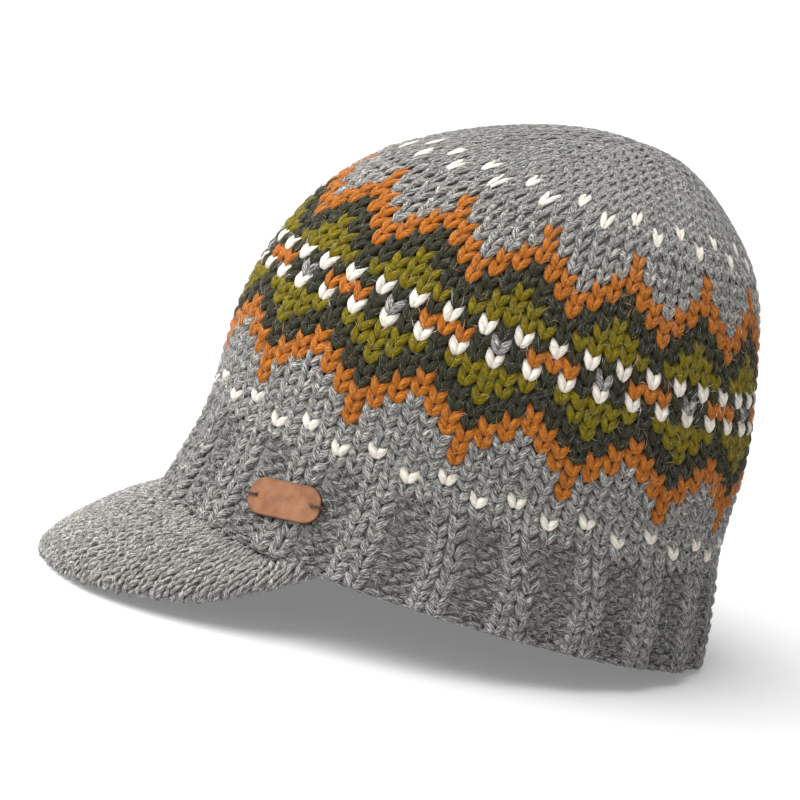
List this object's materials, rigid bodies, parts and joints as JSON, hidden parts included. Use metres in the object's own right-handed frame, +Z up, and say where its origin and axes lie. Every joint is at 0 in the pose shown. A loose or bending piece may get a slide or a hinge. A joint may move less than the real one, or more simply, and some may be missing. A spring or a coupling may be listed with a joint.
{
  "type": "brimmed beanie",
  "caption": "Knitted wool cap with a ribbed band, a patterned domed crown, a short thick knitted brim at the front and a small leather label held on by two thread stitches.",
  "frame": {"origin": "middle of the cap's footprint, on the surface that it rests on", "axes": "+Z up, the wearer looks along -Y, the wearer's left side is +X; the cap leans back as it rests on its brim's edge and the back of its rim"},
  "size_m": [0.184, 0.2584, 0.1896],
  "materials": {
    "wool_grey": "matt, marled grey wool yarn",
    "wool_orange": "matt, rust orange wool yarn",
    "wool_olive": "matt, olive wool yarn",
    "wool_charcoal": "matt, dark charcoal wool yarn",
    "wool_white": "matt, off-white wool yarn",
    "leather_tan": "satin, tan leather with cut edges",
    "thread_brown": "matt, waxed dark brown thread"
  },
  "bodies": {
    "root": {"crown": "wool_grey", "rib_band": "wool_grey", "brim": "wool_grey", "label": "leather_tan", "label_stitch_front": "thread_brown", "label_stitch_back": "thread_brown"}
  },
  "joints": []
}
